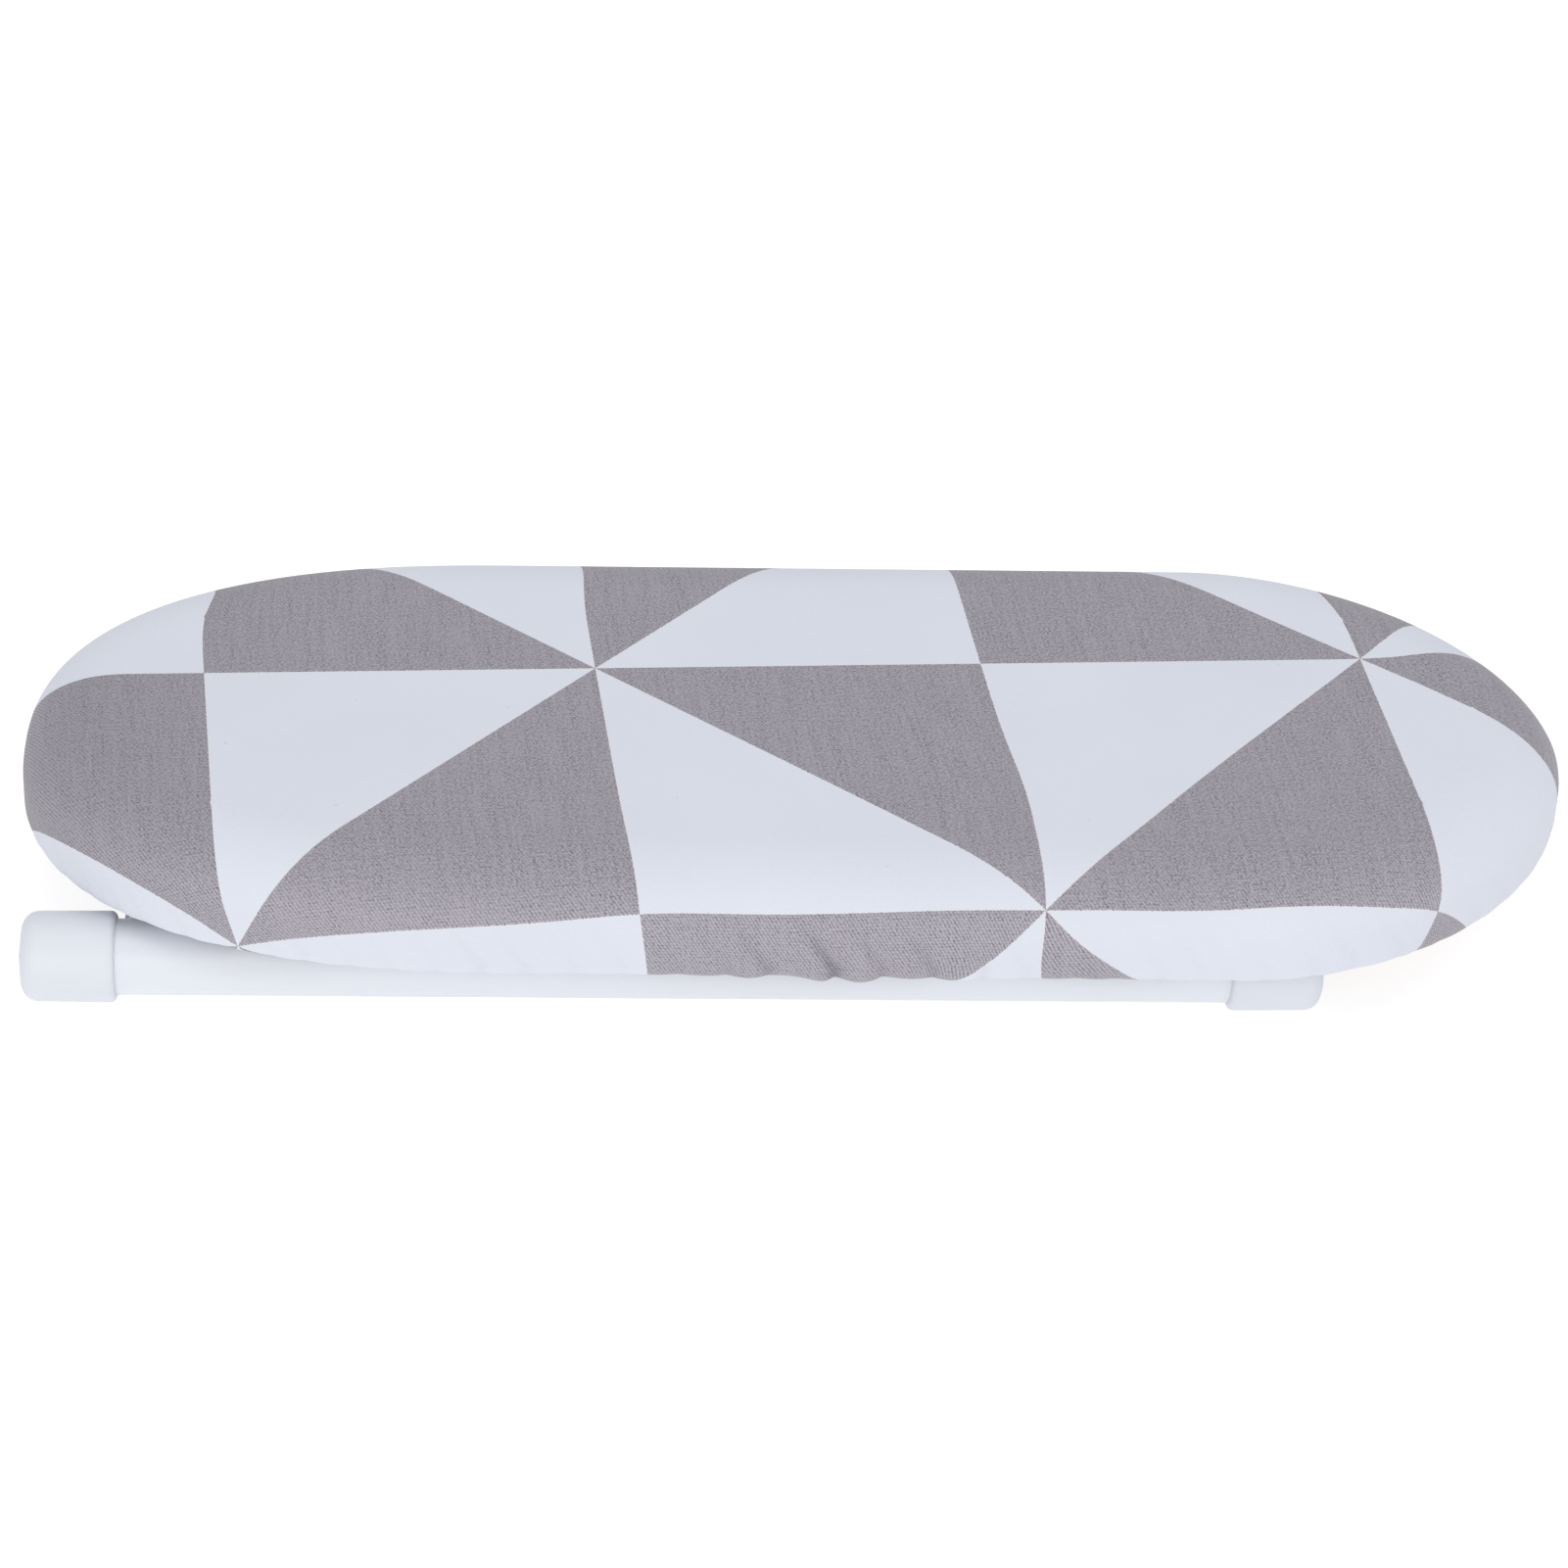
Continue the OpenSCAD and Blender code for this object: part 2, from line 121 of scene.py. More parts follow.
def side(skin=0.0):
    """Rows of (inset, height) from the flat top's rim down to the underside, set in by skin."""
    low = UNDER_Z + BOTTOM_ROUND
    turn = BOTTOM_ROUND - skin
    shoulder = np.linspace(0, math.pi / 2, EDGE_STEPS)
    bottom = np.linspace(0, math.pi / 2, ROUND_STEPS)[1:]
    width, drop = EDGE_WIDTH - skin, EDGE_DROP - skin
    rows = [(EDGE_WIDTH - width * math.sin(a), TOP_Z - skin - drop * (1 - math.cos(a))) for a in shoulder]
    rows += [(skin, z) for z in np.linspace(TOP_Z - EDGE_DROP, low, SKIRT_STEPS + 1)[1:]]
    rows += [(BOTTOM_ROUND - turn * math.cos(a), low - turn * math.sin(a)) for a in bottom]
    return rows


def run_along(rows):
    """Length of cloth from the first row to each row."""
    return np.concatenate([[0], np.cumsum(np.linalg.norm(np.diff(np.array(rows), axis=0), axis=1))])


def level_fill(ring, count, start, steps, places, faces, upward):
    """Fills a level ring with straight columns of quads between its mirrored points."""
    half = count // 2
    first = len(places)
    for c in range(1, half):
        places.extend(ring[c] + (ring[count - c] - ring[c]) * r / steps for r in range(1, steps))

    def index(c, r):
        if c in (0, half) or r == 0:
            return start + c
        return start + count - c if r == steps else first + (c - 1) * (steps - 1) + r - 1

    for c in range(half):
        for r in range(steps):
            corners = [index(c, r), index(c + 1, r), index(c + 1, r + 1), index(c, r + 1)]
            corners = list(dict.fromkeys(corners))
            if len(corners) > 2:
                faces.append(corners if upward else corners[::-1])


def ring_faces(count, first, second):
    """Quads between two rings, the second one further down the side."""
    return [(first + i, second + i, second + (i + 1) % count, first + (i + 1) % count) for i in range(count)]


# ---------- mesh helpers ----------

def new_piece(name, places, faces, body="board"):
    mesh = bpy.data.meshes.new(name)
    mesh.from_pydata([tuple(p) for p in places], [], [tuple(f) for f in faces])
    mesh.validate()
    mesh.shade_smooth()
    piece = bpy.data.objects.new(name, mesh)
    bpy.context.scene.collection.objects.link(piece)
    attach(piece, body)
    return piece


def add_vectors(piece, name, values):
    attribute = piece.data.attributes.new(name, "FLOAT_VECTOR", "POINT")
    attribute.data.foreach_set("vector", np.asarray(values, np.float32).ravel())


def get_places(mesh):
    flat = np.zeros(len(mesh.vertices) * 3, np.float32)
    mesh.vertices.foreach_get("co", flat)
    return flat.reshape(-1, 3).astype(float)


def subdivide(piece, levels=1):
    modifier = piece.modifiers.new("smooth", "SUBSURF")
    modifier.levels = modifier.render_levels = levels


def wobble(around, whole, terms, seed):
    """A smooth, seeded wave from -1 to 1 of a distance round the board, which meets itself."""
    rng = np.random.default_rng(seed)
    total = sum(rng.normal() / k ** 0.5 * np.sin(2 * math.pi * (k * around / whole + rng.random()))
                for k in range(1, terms + 1))
    return total / np.abs(total).max()


# ---------- the cover ----------

COVER_SEGMENTS = 1040
TOP_STEPS = 36
FOLD_LEAN = 0.67
HIDDEN_BULGE = 1.3 * MM
ORDINARY_FOLD = 14 * MM
FOLD_ROUNDNESS = 0.78
CREASE_WIDTH = 2 * MM
# Crease depth at which the painted shade along the hem's creases is full
PAINTED_SHADE_FULL_DEPTH = 2 * MM
# The folds fade out up the side, and are gone this share of the way down the rounded shoulder
FOLDS_END = 0.7
SIM_FRAMES = 20
SIM_CAP_OUT, SIM_CAP_IN = 4 * MM, 1.0 * MM
# The folds along the front hem: where each begins and how far it bulges, in millimetres, and the share
# of its width at which it is fullest
FRONT_FOLDS = (
    (-120, 0.22, 0.50), (-106, 0.28, 0.55), (-92, 0.18, 0.50), (-76, 0.14, 0.55), (-60, 0.20, 0.50),
    (-43, 0.35, 0.60), (-27, 1.1, 0.55), (-14, 2.1, 0.82), (7.6, 2.4, 0.56), (23, 0.8, 0.60),
    (39.5, 1.2, 0.45), (56, 0.30, 0.50),
)


def hem_folds():
    """Where each fold of the gathered hem begins round the board, its bulge and its fullest share."""
    rim, _, whole = outline(2400)
    around = np.arange(2400) * whole / 2400
    front = rim[:, 1] < 0
    rng = np.random.default_rng(3)
    folds = [(np.interp(x * MM, rim[front, 0], around[front]), bulge * MM, fullest)
             for x, bulge, fullest in FRONT_FOLDS]
    for begin, end in ((0, folds[0][0]), (folds[-1][0] + ORDINARY_FOLD, whole)):
        widths = rng.uniform(0.55, 1.45, round((end - begin) / ORDINARY_FOLD))
        starts = begin + (end - begin) * (np.cumsum(widths) - widths) / widths.sum()
        folds += [(start, rng.uniform(0.05, 0.20) * MM, rng.uniform(0.4, 0.65)) for start in starts]
    return np.array(sorted(folds)).T


def fold_shape(folds, place, whole):
    """How full the folds are round the hem, from 0 to 1, the bulge of each, and how deep its crease is."""
    begin, bulge, fullest = folds
    place = place % whole
    number = np.searchsorted(begin, place, side="right") - 1
    width = np.append(begin[1:], whole)[number] - begin[number]
    share = (place - begin[number]) / width
    skewed = share ** (math.log(0.5) / np.log(fullest[number]))
    beside = np.where(share < 0.5, number - 1, (number + 1) % len(begin))
    depth = np.minimum(bulge[number], bulge[beside])
    near = np.exp(-(np.minimum(share, 1 - share) * width / CREASE_WIDTH) ** 2)
    return np.abs(np.sin(math.pi * skewed)) ** FOLD_ROUNDNESS, bulge[number], depth * near


def cover_places(fullness):
    """The cover's vertices with its folds this full, its faces, flat places, freedom and the painted shade
    of its creases.
    """
    count = COVER_SEGMENTS
    rim, normal, whole = outline(count)
    around = np.arange(count) * whole / count
    insets = np.linspace(BOTTOM_ROUND, HEM_INSET, UNDER_STEPS + 1)[1:]
    rows = side() + [(inset, UNDER_Z) for inset in insets]
    run = run_along(rows)
    slope = np.gradient(np.array(rows), run, axis=0)
    folds = hem_folds()
    inner = rim - normal * EDGE_WIDTH
    shoulder_end, skirt_end = run[EDGE_STEPS - 1], run[EDGE_STEPS + SKIRT_STEPS - 1]
    folds_end = FOLDS_END * shoulder_end
    places, flat, free, faces, shade = [], [], [], [], []
    for (inset, z), (inset_slope, z_slope), length in zip(rows, slope, run):
        up_skirt = np.clip((length - folds_end) / (skirt_end - folds_end), 0, 1)
        under = np.clip((length - skirt_end) / (run[-1] - skirt_end), 0, 1)
        leaning = around + FOLD_LEAN * max(0, skirt_end - length)
        shape, bulge, crease = fold_shape(folds, leaning, whole)
        rise = up_skirt ** 1.2
        swell = fullness * shape * (bulge * rise * (1 - under) + HIDDEN_BULGE * under)
        plan = rim - normal * (swell * z_slope + inset)[:, None]
        places.extend(np.column_stack([plan, z - swell * inset_slope]))
        flat.extend(inner + normal * length)
        free.extend([np.clip(length / shoulder_end, 0, 1) ** 2] * count)
        # Painted shade: how far the cloth is darkened in each crease, where shade falls
        shade.extend(crease * rise / PAINTED_SHADE_FULL_DEPTH)
    for k in range(len(rows) - 1):
        faces.extend(ring_faces(count, k * count, (k + 1) * count))
    ring = [np.array(p) for p in places[:count]]
    level_fill(ring, count, 0, TOP_STEPS, places, faces, True)
    flat.extend(p[:2] for p in places[len(flat):])
    free.extend([0.0] * (len(places) - len(free)))
    held = np.array(free)
    held[(len(rows) - 1) * count:len(rows) * count] = 0
    shade.extend([0.0] * (len(places) - len(shade)))
    return np.array(places), faces, np.array(flat), held, shade


def print_cells(flat):
    """Where each flat place of the cloth lies in the print, in squares."""
    x, y = flat[:, 0] - PRINT_CORNER[0], flat[:, 1] - PRINT_CORNER[1]
    across = math.cos(PRINT_TURN) * x + math.sin(PRINT_TURN) * y
    down = math.sin(PRINT_TURN) * x - math.cos(PRINT_TURN) * y
    across += PRINT_SHEAR * down
    for at_x, at_y, reach, to_nose, to_back in PRINT_TUGS:
        distance = np.hypot(flat[:, 0] - at_x * MM, flat[:, 1] - at_y * MM)
        near = np.exp(-(distance / (reach * MM)) ** 2)
        across += to_nose * MM * near
        down += to_back * MM * near
    return np.column_stack([across, down, np.zeros(len(x))]) / PRINT_SQUARE


def make_cloth(piece, free, cut):
    """Sets a piece up as cloth, which is held where it isn't free and rests at its cut size."""
    piece.shape_key_add(name="start")
    key = piece.shape_key_add(name="cut")
    key.data.foreach_set("co", np.asarray(cut, np.float32).ravel())
    group = piece.vertex_groups.new(name="held")
    for index, share in enumerate(free):
        group.add([index], float(1 - share), "REPLACE")
    cloth = piece.modifiers.new("cloth", "CLOTH")
    cloth.settings.quality = 6
    cloth.settings.mass = 0.2
    cloth.settings.tension_stiffness = cloth.settings.compression_stiffness = 25
    cloth.settings.shear_stiffness = 8
    cloth.settings.bending_stiffness = 0.6
    cloth.settings.vertex_group_mass = "held"
    cloth.settings.pin_stiffness = 4
    cloth.settings.rest_shape_key = key
    cloth.settings.use_pressure = True
    cloth.settings.uniform_pressure_force = 4
    cloth.settings.effector_weights.gravity = 0
    cloth.collision_settings.use_collision = False
    return cloth


def settle(piece, free, cut):
    """Lets the gathered cloth find its rest by cloth simulation, and keeps it near its first shape."""
    start = get_places(piece.data)
    normals = np.array([v.normal for v in piece.data.vertices])
    cloth = make_cloth(piece, free, cut)
    scene = bpy.context.scene
    for number in range(1, SIM_FRAMES + 1):
        scene.frame_set(number)
    settled = piece.evaluated_get(bpy.context.evaluated_depsgraph_get())
    moved = get_places(settled.data) - start
    scene.frame_set(1)
    piece.modifiers.remove(cloth)
    piece.shape_key_clear()
    length = np.linalg.norm(moved, axis=1, keepdims=True)
    moved *= np.minimum(1, SIM_CAP_OUT / np.maximum(length, 1e-9))
    inward = np.minimum(0, (moved * normals).sum(1) + SIM_CAP_IN)
    moved -= normals * inward[:, None]
    print("cloth moved at most", round(float(np.abs(moved).max()) * 1000, 2), "mm")
    piece.data.vertices.foreach_set("co", np.asarray(start + moved, np.float32).ravel())
    piece.data.update()


def make_cover():
    places, faces, flat, free, shade = cover_places(1)
    cover = new_piece("printed_cover", places, faces)
    add_vectors(cover, "print_cell", print_cells(flat))
    # The painted shade for the creases, used by the cloth's colour
    cover.data.attributes.new("fold_shade", "FLOAT", "POINT").data.foreach_set("value", shade)
    settle(cover, free, cover_places(1.6)[0])
    subdivide(cover)
    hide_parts("cover")
    return cover


def make_casing():
    """The hem's gathered casing: a flat ruffled tube round the underside, with the elastic inside it."""
    count, section = 1100, 14
    rim, normal, whole = outline(count)
    around = np.arange(count) * whole / count
    folds = fold_shape(hem_folds(), around, whole)[0]
    ruffles = round(whole / (6.2 * MM))
    fine = np.sin(math.tau * ruffles * around / whole + 2.2 * wobble(around, whole, 40, 5))
    middle_z, half_height = (HEM_LOW.z + HEM_HIGH.z) / 2, (HEM_HIGH.z - HEM_LOW.z) / 2
    places, faces = [], []
    for k in range(section):
        a = 2 * math.pi * k / section
        bulge = 1 + 0.10 * fine
        out = CASING_HALF_WIDTH * signed_power(math.cos(a), 0.8) * bulge
        drop = half_height * signed_power(math.sin(a), 0.7)
        ripple = (0.25 * fine - 0.3 * folds) * MM * (1.0 if math.sin(a) < 0 else 0.4)
        plan = rim + normal * (out - HEM_INSET)[:, None]
        places.extend(np.column_stack([plan, middle_z + drop + ripple]))
    for k in range(section):
        faces.extend(ring_faces(count, k * count, ((k + 1) % section) * count))
    casing = new_piece("hem_casing", places, faces)
    add_vectors(casing, "print_cell", print_cells(np.array(places)))
    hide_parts("hem_band")
    return casing


def make_stitches():
    """Lock stitches along the inner edge of the casing."""
    stitch, gap, thick = 2.4 * MM, 0.7 * MM, 0.22 * MM
    rim, normal, whole = outline(4000)
    path = rim - normal * (HEM_INSET - CASING_HALF_WIDTH + 1.2 * MM)
    z = HEM_LOW.z - 0.05 * MM
    step = whole / 4000
    places, faces = [], []
    for number in range(int(whole / (stitch + gap))):
        begin = int(number * (stitch + gap) / step)
        end = min(3999, begin + int(stitch / step))
        a, b = Vector((*path[begin], z)), Vector((*path[end], z))
        along = (b - a).normalized()
        across = Vector((-along.y, along.x, 0))
        base = len(places)
        for share, size in ((0, 0.35), (0.2, 1), (0.8, 1), (1, 0.35)):
            centre = a.lerp(b, share) - Vector((0, 0, thick * (0.9 if 0 < share < 1 else 0.1)))
            for k in range(6):
                turn = math.tau * k / 6
                offset = (across * math.cos(turn) + Vector((0, 0, math.sin(turn)))) * thick * size
                places.append(centre + offset)
        for ring in range(3):
            for k in range(6):
                n = (k + 1) % 6
                low, high = base + ring * 6, base + ring * 6 + 6
                faces.append((low + k, low + n, high + n, high + k))
        faces.append(tuple(base + k for k in range(5, -1, -1)))
        faces.append(tuple(base + 18 + k for k in range(6)))
    stitches = new_piece("hem_stitches", places, faces)
    return stitches


def make_sponge():
    """The sponge pad: a soft slab over the core that laps down round its edge."""
    count, skin, wall = 260, 2.4 * MM, 4.2 * MM
    rim, normal, _ = outline(count)
    outer = [row for row in side(skin) if row[1] >= UNDER_Z + BOTTOM_ROUND]
    rows = outer + [(wall, outer[-1][1]), (wall, CORE_TOP_Z + 0.2 * MM)]
    places, faces = [], []
    for inset, z in rows:
        places.extend(np.column_stack([rim - normal * inset, np.full(count, z)]))
    for k in range(len(rows) - 1):
        faces.extend(ring_faces(count, k * count, (k + 1) * count))
    last = (len(rows) - 1) * count
    top, under = [np.array(p) for p in places[:count]], [np.array(p) for p in places[last:]]
    level_fill(top, count, 0, 30, places, faces, True)
    level_fill(under, count, last, 30, places, faces, False)
    sponge = new_piece("soft_sponge", places, faces)
    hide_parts("sponge_pad")
    return sponge


# ---------- materials ----------

def add(tree, kind, inputs=None, **settings):
    """Adds a shader node, sets it up, and joins or sets its inputs. Returns the node."""
    made = tree.nodes.new("ShaderNode" + kind)
    for name, value in settings.items():
        setattr(made, name, value)
    for name, value in (inputs or {}).items():
        if isinstance(value, bpy.types.NodeSocket):
            tree.links.new(value, made.inputs[name])
        else:
            made.inputs[name].default_value = value
    return made


def calc(tree, operation, *values):
    return add(tree, "Math", dict(enumerate(values)), operation=operation).outputs[0]


def mix(tree, share, first, second):
    made = add(tree, "Mix", {0: share, 6: first, 7: second}, data_type="RGBA")
    return made.outputs[2]


def between(tree, value, low, high, to_low=0.0, to_high=1.0):
    inputs = {"Value": value, "From Min": low, "From Max": high, "To Min": to_low, "To Max": to_high}
    return add(tree, "MapRange", inputs).outputs[0]


def noise(tree, place, scale, detail=3.0, rough=0.5, stretch=(1, 1, 1)):
    if tuple(stretch) != (1, 1, 1):
        place = add(tree, "Mapping", {"Vector": place, "Scale": stretch}).outputs[0]
    inputs = {"Vector": place, "Scale": scale, "Detail": detail, "Roughness": rough}
    return add(tree, "TexNoise", inputs).outputs[0]


def bump(tree, height, strength, distance, below=None):
    inputs = {"Height": height, "Strength": strength, "Distance": distance}
    if below is not None:
        inputs["Normal"] = below
    return add(tree, "Bump", inputs).outputs[0]


def new_material(name, **shader_values):
    material = bpy.data.materials.new(name)
    material.use_nodes = True
    shader = material.node_tree.nodes["Principled BSDF"]
    for socket, value in shader_values.items():
        shader.inputs[socket.replace("_", " ")].default_value = value
    place = add(material.node_tree, "TexCoord").outputs["Object"]
    return material, material.node_tree, shader, place


def finish_shader(tree, shader, colour, roughness, normal):
    tree.links.new(colour, shader.inputs["Base Color"])
    tree.links.new(roughness, shader.inputs["Roughness"])
    tree.links.new(normal, shader.inputs["Normal"])


def rgb(r, g, b):
    return (r, g, b, 1.0)


COTTON_WHITE = rgb(0.660, 0.683, 0.747)
COTTON_SHADE = rgb(0.640, 0.661, 0.729)
COTTON_CREAM = rgb(0.700, 0.655, 0.600)
TWILL_PITCH = 1.11 * MM
TWILL_LEAN = math.radians(61.4)
THREAD_PITCH = 1.07 * MM


def ridges(tree, distance, pitch, waver):
    """Rounded ridges with this pitch, from 0 to 1, shifted by a wavering number of radians."""
    phase = calc(tree, "ADD", calc(tree, "MULTIPLY", distance, math.tau / pitch), waver)
    return calc(tree, "MULTIPLY_ADD", calc(tree, "SINE", phase), 0.5, 0.5)


def twill(tree, cloth_place):
    """A cotton twill: diagonal ribs broken by the crossing threads, from 0 to 1, its slubs and its grain."""
    parts = add(tree, "SeparateXYZ", {0: cloth_place})
    across, down = parts.outputs[0], parts.outputs[1]
    waver = calc(tree, "MULTIPLY", noise(tree, cloth_place, 90, 2), 2.4)
    leaning = calc(tree, "SUBTRACT", calc(tree, "MULTIPLY", across, math.sin(TWILL_LEAN)),
                   calc(tree, "MULTIPLY", down, math.cos(TWILL_LEAN)))
    ribs = ridges(tree, leaning, TWILL_PITCH, waver)
    threads = ridges(tree, down, THREAD_PITCH, waver)
    weave = calc(tree, "ADD", calc(tree, "MULTIPLY", ribs, 0.7), calc(tree, "MULTIPLY", threads, 0.3))
    warp_slubs = noise(tree, cloth_place, 480, 3, 0.65, (1, 0.06, 1))
    weft_slubs = noise(tree, cloth_place, 700, 2, 0.6, (0.10, 1, 1))
    slubs = calc(tree, "ADD", calc(tree, "MULTIPLY", warp_slubs, 0.65),
                 calc(tree, "MULTIPLY", weft_slubs, 0.35))
    grain = noise(tree, cloth_place, 1150, 2, 0.65)
    return weave, slubs, grain


def triangle_print(tree, cell):
    """1 on the grey triangles and 0 on the white ones, and the distance to the nearest edge, in squares."""
    parts = add(tree, "SeparateXYZ", {0: cell})
    column, row = (calc(tree, "FLOOR", parts.outputs[k]) for k in (0, 1))
    across, down = (calc(tree, "FRACT", parts.outputs[k]) for k in (0, 1))
    odd_square = calc(tree, "FLOORED_MODULO", calc(tree, "ADD", column, row), 2)
    odd_row = calc(tree, "FLOORED_MODULO", row, 2)
    fall = calc(tree, "SUBTRACT", 1, down)
    diagonal = calc(tree, "ADD", calc(tree, "MULTIPLY", odd_square, down),
                    calc(tree, "MULTIPLY", calc(tree, "SUBTRACT", 1, odd_square), fall))
    beside = calc(tree, "SUBTRACT", across, diagonal)
    signed = calc(tree, "MULTIPLY", beside, calc(tree, "SUBTRACT", 1, calc(tree, "MULTIPLY", odd_row, 2)))
    grey = calc(tree, "GREATER_THAN", signed, 0)
    edge = calc(tree, "MULTIPLY", calc(tree, "ABSOLUTE", beside), math.sqrt(0.5))
    for line in (across, calc(tree, "SUBTRACT", 1, across), down, fall):
        edge = calc(tree, "MINIMUM", edge, line)
    return grey, edge


def grey_ink(tree, place, weave, slubs, grain):
    """The printed grey: streaked along the threads, grainy, paler on the ribs, where white threads show
    through and a highlight is painted on, more on the sides than on the flat top, and deeper at the nose.
    """
    dark_streak, light_streak = rgb(0.118, 0.111, 0.133), rgb(0.232, 0.220, 0.254)
    streaked = mix(tree, between(tree, slubs, 0.38, 0.62), dark_streak, light_streak)
    grained = mix(tree, between(tree, grain, 0.37, 0.63), streaked, rgb(0.358, 0.340, 0.382))
    upright = add(tree, "SeparateXYZ", {0: add(tree, "TexCoord").outputs["Normal"]}).outputs[2]
    # Painted light: the ribs' highlight is strong on the sides and faint on the flat top, as the light falls
    painted_side_light = between(tree, upright, 0.55, 0.98, 0.95, 0.32)
    rib_threads_and_painted_light = calc(tree, "MULTIPLY", calc(tree, "POWER", weave, 2.0), painted_side_light)
    # Pale ribs: partly white threads showing through the ink, partly a painted highlight
    ribbed = mix(tree, rib_threads_and_painted_light, grained, rgb(0.480, 0.455, 0.500))
    patches = noise(tree, place, 28, 3)
    patched = mix(tree, between(tree, patches, 0.35, 0.7, 0, 0.16), ribbed, rgb(0.335, 0.285, 0.310))
    along = add(tree, "SeparateXYZ", {0: place}).outputs[0]
    return mix(tree, between(tree, along, -0.25, -0.17, 0.18, 0), patched, rgb(0.120, 0.112, 0.132))


def cotton_material(name, printed):
    material, tree, shader, place = new_material(
        name, Sheen_Weight=0.10, Sheen_Roughness=0.5, Specular_IOR_Level=0.25)
    cell = add(tree, "Attribute", attribute_name="print_cell").outputs["Vector"]
    cloth_place = add(tree, "VectorMath", {0: cell, 1: (PRINT_SQUARE,) * 3}, operation="MULTIPLY").outputs[0]
    weave, slubs, grain = twill(tree, cloth_place)
    white = mix(tree, between(tree, noise(tree, place, 14, 3), 0.3, 0.7), COTTON_WHITE, COTTON_SHADE)
    colour = mix(tree, between(tree, weave, 0, 1, 0.20, 0), white, rgb(0.600, 0.620, 0.700))
    if printed:
        ragged = noise(tree, cloth_place, 1500, 2, 0.6)
        nudge = add(tree, "CombineXYZ", {0: between(tree, ragged, 0, 1, -0.0030, 0.0030),
                                         1: between(tree, grain, 0, 1, -0.0036, 0.0036)})
        nudged = add(tree, "VectorMath", {0: cell, 1: nudge.outputs[0]}, operation="ADD").outputs[0]
        grey, edge = triangle_print(tree, nudged)
        cream = between(tree, edge, 0.0015, 0.0050, 0.35, 0.0)
        colour = mix(tree, cream, colour, COTTON_CREAM)
        colour = mix(tree, grey, colour, grey_ink(tree, place, weave, slubs, grain))
    specks = between(tree, noise(tree, place, 310, 1, 0.4), 0.80, 0.84, 0, 0.25)
    colour = mix(tree, specks, colour, rgb(0.40, 0.37, 0.34))
    # Painted shade: the cloth is darkened along the hem's creases, where shade falls, by the fold_shade
    # attribute
    shade = calc(tree, "MULTIPLY", add(tree, "Attribute", attribute_name="fold_shade").outputs["Fac"], 0.55)
    shaded = {0: shade, 6: colour, 7: rgb(0.33, 0.33, 0.37)}
    colour = add(tree, "Mix", shaded, data_type="RGBA", blend_type="MULTIPLY").outputs[2]
    roughness = between(tree, noise(tree, place, 90, 3), 0.3, 0.7, 0.80, 0.92)
    threads = calc(tree, "ADD", calc(tree, "MULTIPLY", weave, 0.9), calc(tree, "MULTIPLY", slubs, 0.7))
    height = calc(tree, "ADD", threads, calc(tree, "MULTIPLY", grain, 0.2))
    soft = bump(tree, noise(tree, place, 16, 2), 0.35, 0.8 * MM)
    finish_shader(tree, shader, colour, roughness, bump(tree, height, 0.45, 0.14 * MM, soft))
    return material


def painted_steel():
    """White powder coat: a faint orange peel, patches of dust, dark specks and softly rounded edges."""
    material, tree, shader, place = new_material(
        "powder_coat_white", Specular_IOR_Level=0.5, Coat_Weight=0.15, Coat_Roughness=0.25)
    edge = add(tree, "Bevel", {"Radius": 0.7 * MM}, samples=4).outputs[0]
    peel = noise(tree, place, 1300, 2, 0.5)
    dust = between(tree, noise(tree, place, 45, 5, 0.6), 0.45, 0.8, 0, 0.35)
    colour = mix(tree, dust, rgb(0.682, 0.704, 0.750), rgb(0.645, 0.666, 0.711))
    specks = between(tree, noise(tree, place, 700, 2), 0.76, 0.80, 0, 0.3)
    colour = mix(tree, specks, colour, rgb(0.55, 0.55, 0.57))
    roughness = between(tree, noise(tree, place, 70, 4), 0.25, 0.75, 0.34, 0.48)
    finish_shader(tree, shader, colour, roughness, bump(tree, peel, 0.18, 0.05 * MM, edge))
    return material


def moulded_plastic(name, light, dark):
    """Satin moulded plastic with a fine spark-eroded grain and faint handling scuffs."""
    material, tree, shader, place = new_material(
        name, Specular_IOR_Level=0.45, Subsurface_Weight=0.04, Subsurface_Radius=(0.002, 0.002, 0.002))
    edge = add(tree, "Bevel", {"Radius": 0.4 * MM}, samples=4).outputs[0]
    grain = noise(tree, place, 2200, 3, 0.6)
    flow = noise(tree, place, 30, 3, 0.55, (0.4, 1, 1))
    scuffs = between(tree, noise(tree, place, 160, 4, 0.7, (1, 0.15, 1)), 0.62, 0.75, 0, 0.3)
    colour = mix(tree, between(tree, flow, 0.3, 0.7), light, dark)
    roughness = calc(tree, "ADD", between(tree, grain, 0.3, 0.7, 0.40, 0.50),
                     calc(tree, "MULTIPLY", scuffs, 0.3))
    finish_shader(tree, shader, colour, roughness, bump(tree, grain, 0.2, 0.05 * MM, edge))
    return material


def plated_steel():
    """Zinc-plated steel: drawn lines, cloudy passivation."""
    material, tree, shader, place = new_material("zinc_plate", Metallic=1.0)
    edge = add(tree, "Bevel", {"Radius": 0.4 * MM}, samples=4).outputs[0]
    lines = noise(tree, place, 1100, 3, 0.6, (1, 0.04, 1))
    clouds = noise(tree, place, 60, 4, 0.6)
    colour = mix(tree, between(tree, clouds, 0.3, 0.7), rgb(0.60, 0.62, 0.66), rgb(0.70, 0.69, 0.66))
    roughness = calc(tree, "ADD", between(tree, lines, 0.2, 0.8, 0.24, 0.38),
                     calc(tree, "MULTIPLY", clouds, 0.1))
    finish_shader(tree, shader, colour, roughness, bump(tree, lines, 0.25, 0.04 * MM, edge))
    return material


